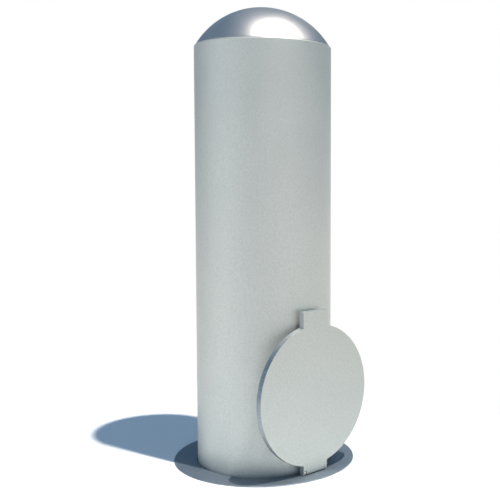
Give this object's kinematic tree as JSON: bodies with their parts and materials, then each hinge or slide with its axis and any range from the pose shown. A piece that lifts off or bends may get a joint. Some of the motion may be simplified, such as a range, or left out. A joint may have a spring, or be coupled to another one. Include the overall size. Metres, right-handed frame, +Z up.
{
  "type": "retractable bollard",
  "caption": "Retractable round security bollard with a polished dome, set in a ground sleeve with a flat flange and a hinged round cover plate standing beside the raised post.",
  "frame": {"origin": "on the post axis at finished paving level, the plane that the flange is set flush with", "axes": "+Z up along the post; +X from the post towards the cover plate's hinge; +Y completes a right-handed frame, along the hinge pin"},
  "size_m": [0.3, 0.3, 1.7397],
  "materials": {
    "satin_steel": "satin",
    "polished_steel": "polished",
    "flange_steel": "satin",
    "galvanised": "galvanised",
    "plain_steel": "machined",
    "nylon": "matte",
    "grey_plastic": "matte",
    "rubber": "matte",
    "black_paint": "semi-gloss",
    "chrome_rod": "polished",
    "bronze": "machined"
  },
  "bodies": {
    "ground_frame": {"ground_flange": "flange_steel", "sleeve_tube": "galvanised", "base_plate": "galvanised", "drain_stub": "galvanised", "anchor_lug_1": "galvanised", "anchor_lug_2": "galvanised", "anchor_lug_3": "galvanised", "anchor_lug_4": "galvanised", "wiper_seal": "rubber", "guide_bush": "nylon", "bush_ledge": "galvanised", "keeper_ring": "plain_steel", "buffer_ring": "rubber", "hinge_lug_left": "satin_steel", "hinge_lug_right": "satin_steel", "hinge_pin": "plain_steel", "friction_washer_left": "bronze", "friction_washer_right": "bronze", "gas_cylinder_left": "black_paint", "gas_cylinder_right": "black_paint", "gas_gland_left": "grey_plastic", "gas_gland_right": "grey_plastic", "cylinder_eye_left": "plain_steel", "cylinder_eye_right": "plain_steel", "foot_bracket_left": "plain_steel", "foot_bracket_right": "plain_steel", "foot_pin_left": "plain_steel", "foot_pin_right": "plain_steel"},
    "cover": {"cover_plate": "satin_steel"},
    "post": {"post_tube": "satin_steel", "dome_cap": "polished_steel", "cap_ring": "plain_steel", "lock_housing": "plain_steel", "top_bracket": "plain_steel", "gas_rod_left": "chrome_rod", "gas_rod_right": "chrome_rod", "gas_piston_left": "plain_steel", "gas_piston_right": "plain_steel", "rod_nut_left": "plain_steel", "rod_nut_right": "plain_steel", "lock_plate": "plain_steel", "bolt_guide_left": "plain_steel", "bolt_guide_right": "plain_steel", "bump_ring": "rubber", "guide_collar": "nylon", "post_base_ring": "plain_steel"},
    "spindle": {"lock_spindle": "plain_steel", "key_socket_head": "plain_steel", "spindle_collar": "plain_steel", "lock_cam": "plain_steel"},
    "bolt_left": {"lock_bolt_left": "plain_steel"},
    "bolt_right": {"lock_bolt_right": "plain_steel"}
  },
  "joints": [
    {"name": "post_lift", "type": "slide", "parent": "ground_frame", "child": "post", "axis": [0, 0, 1], "range_m": [-0.735, 0], "stiffness_N_per_m": 60, "springref_m": 6.2},
    {"name": "cover_hinge", "type": "hinge", "parent": "ground_frame", "child": "cover", "pos_m": [0.11915, 0, 0.00655], "axis": [0, 1, 0], "range_deg": [0, 90]},
    {"name": "lock_turn", "type": "hinge", "parent": "post", "child": "spindle", "pos_m": [0, 0, 0], "axis": [0, 0, 1], "range_deg": [0, 90]},
    {"name": "bolt_left_slide", "type": "slide", "parent": "post", "child": "bolt_left", "axis": [-1, 0, 0], "range_m": [0, 0.0171]},
    {"name": "bolt_right_slide", "type": "slide", "parent": "post", "child": "bolt_right", "axis": [1, 0, 0], "range_m": [0, 0.0171]}
  ],
  "couplings": [
    {"joint": "bolt_left_slide", "follows": "lock_turn", "m_per_rad": 0.010823},
    {"joint": "bolt_right_slide", "follows": "lock_turn", "m_per_rad": 0.010823}
  ]
}
